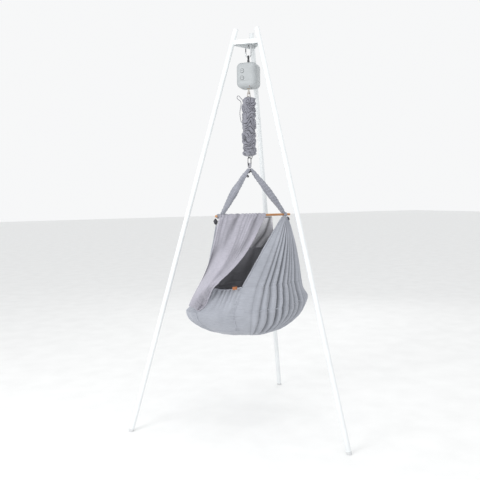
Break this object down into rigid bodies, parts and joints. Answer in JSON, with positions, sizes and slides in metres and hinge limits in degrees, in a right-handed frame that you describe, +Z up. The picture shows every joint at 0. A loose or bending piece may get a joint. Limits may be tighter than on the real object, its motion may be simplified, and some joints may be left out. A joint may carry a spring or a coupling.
{
  "type": "baby swing",
  "caption": "Cloth baby hammock hung by straps, a spring and a lifting motor unit from a white tripod stand of straight tubes.",
  "frame": {"origin": "middle of the outline on the floor", "axes": "+Z up; +X along the cradle from its head end to its foot end; -Y towards the open side of the cradle"},
  "size_m": [1.0746, 1.0746, 2.0063],
  "materials": {
    "white_paint": "gloss",
    "white_plastic": "satin",
    "foot_rubber": "matte",
    "zinc": "satin",
    "chassis_steel": "satin",
    "case_plastic": "matte",
    "rod_steel": "satin",
    "spring_steel": "satin",
    "ring_plastic": "gloss",
    "motor_metal": "satin",
    "drive_plastic": "matte",
    "bush_brass": "satin",
    "board": "satin",
    "lead_rubber": "matte",
    "cover_cloth": "matte",
    "dark_cord": "matte",
    "light_cord": "matte",
    "webbing": "matte",
    "strap_cloth": "matte",
    "bar_wood": "satin",
    "cradle_cloth": "matte",
    "liner_cloth": "matte",
    "tag_leather": "matte"
  },
  "bodies": {
    "stand": {"leg_left": "white_paint", "leg_right": "white_paint", "leg_rear": "white_paint", "feet": "foot_rubber", "leg_top_caps": "white_plastic", "hub_plate": "white_paint", "hub_bolts": "zinc", "hub_washers": "zinc", "leg_inserts": "zinc", "eye_bolt": "zinc", "eye_nut": "zinc"},
    "top_hook": {"top_hook": "zinc", "top_hook_pin": "zinc"},
    "top_gate": {"top_gate": "zinc"},
    "motor": {"motor_eye": "zinc", "motor_eye_nut": "zinc", "motor_cover": "case_plastic", "motor_base": "case_plastic", "case_screws": "zinc", "chassis": "chassis_steel", "gear_motor": "motor_metal", "gearbox_screws": "zinc", "rack_guide": "drive_plastic", "lift_bush": "bush_brass", "circuit_board": "board", "button_switches": "drive_plastic", "power_socket": "drive_plastic", "motor_leads": "lead_rubber"},
    "button_upper": {"button_upper": "case_plastic"},
    "button_lower": {"button_lower": "case_plastic"},
    "pinion": {"drive_pinion": "drive_plastic", "pinion_shaft": "zinc"},
    "lift": {"lift_rack": "drive_plastic", "lift_rod": "rod_steel"},
    "swivel": {"swivel_eye": "rod_steel", "spring_ring": "ring_plastic", "spring_top_plug": "spring_steel", "spring_coil": "spring_steel", "spring_cover": "cover_cloth", "safety_cord": "dark_cord", "drawstring": "light_cord"},
    "spring_bottom": {"spring_bottom_plug": "spring_steel"},
    "low_hook": {"low_hook": "zinc", "low_hook_pin": "zinc"},
    "low_gate": {"low_gate": "zinc"},
    "cradle": {"strap_loop": "webbing", "head_strap": "strap_cloth", "foot_strap": "strap_cloth", "strap_knots": "dark_cord", "spreader_bar": "bar_wood", "bar_knots": "dark_cord", "tub_panel": "cradle_cloth", "pouch_panel": "cradle_cloth", "foot_panel": "cradle_cloth", "head_panel": "cradle_cloth", "back_panel": "cradle_cloth", "liner": "liner_cloth", "mattress": "liner_cloth", "canopy": "cradle_cloth", "label_tag": "tag_leather"}
  },
  "joints": [
    {"name": "hook_swing", "type": "hinge", "parent": "stand", "child": "top_hook", "pos_m": [0.08124, 0.08124, 1.92455], "axis": [0.7071, -0.7071, 0], "range_deg": [-2, 2]},
    {"name": "top_gate_open", "type": "hinge", "parent": "top_hook", "child": "top_gate", "pos_m": [0.07187, 0.09061, 1.88895], "axis": [0.7071, 0.7071, 0], "range_deg": [0, 22], "stiffness_Nm_per_rad": 0.02, "springref_deg": -22.92},
    {"name": "motor_swing", "type": "hinge", "parent": "top_hook", "child": "motor", "pos_m": [0.08124, 0.08124, 1.87485], "axis": [0.7071, 0.7071, 0], "range_deg": [-2, 2]},
    {"name": "button_upper_press", "type": "slide", "parent": "motor", "child": "button_upper", "axis": [0.7071, 0.7071, 0], "range_m": [0, 0.0012], "stiffness_N_per_m": 400, "springref_m": -0.0006},
    {"name": "button_lower_press", "type": "slide", "parent": "motor", "child": "button_lower", "axis": [0.7071, 0.7071, 0], "range_m": [0, 0.0012], "stiffness_N_per_m": 400, "springref_m": -0.0006},
    {"name": "lift_slide", "type": "slide", "parent": "motor", "child": "lift", "axis": [0, 0, 1], "range_m": [-0.02, 0]},
    {"name": "pinion_spin", "type": "hinge", "parent": "motor", "child": "pinion", "pos_m": [0.09044, 0.07205, 1.775], "axis": [0.7071, 0.7071, 0], "range_deg": [-130, 2]},
    {"name": "swivel_turn", "type": "hinge", "parent": "lift", "child": "swivel", "pos_m": [0.08124, 0.08124, 1.69], "axis": [0, 0, 1], "continuous": true},
    {"name": "spring_bounce", "type": "slide", "parent": "swivel", "child": "spring_bottom", "axis": [0, 0, -1], "range_m": [0, 0.1], "stiffness_N_per_m": 500, "springref_m": -0.03626, "deforming": ["spring_coil", "spring_cover", "safety_cord"]},
    {"name": "low_hook_swing", "type": "hinge", "parent": "spring_bottom", "child": "low_hook", "pos_m": [0.08124, 0.08124, 1.362], "axis": [0, 1, 0], "range_deg": [-2, 2]},
    {"name": "low_gate_open", "type": "hinge", "parent": "low_hook", "child": "low_gate", "pos_m": [0.07249, 0.08124, 1.33975], "axis": [0, 1, 0], "range_deg": [0, 22], "stiffness_Nm_per_rad": 0.01, "springref_deg": -22.92},
    {"name": "cradle_swing", "type": "hinge", "parent": "low_hook", "child": "cradle", "pos_m": [0.08124, 0.08124, 1.32605], "axis": [1, 0, 0], "range_deg": [-2, 2]}
  ],
  "couplings": [
    {"joint": "pinion_spin", "follows": "lift_slide", "rad_per_m": 111.11}
  ]
}
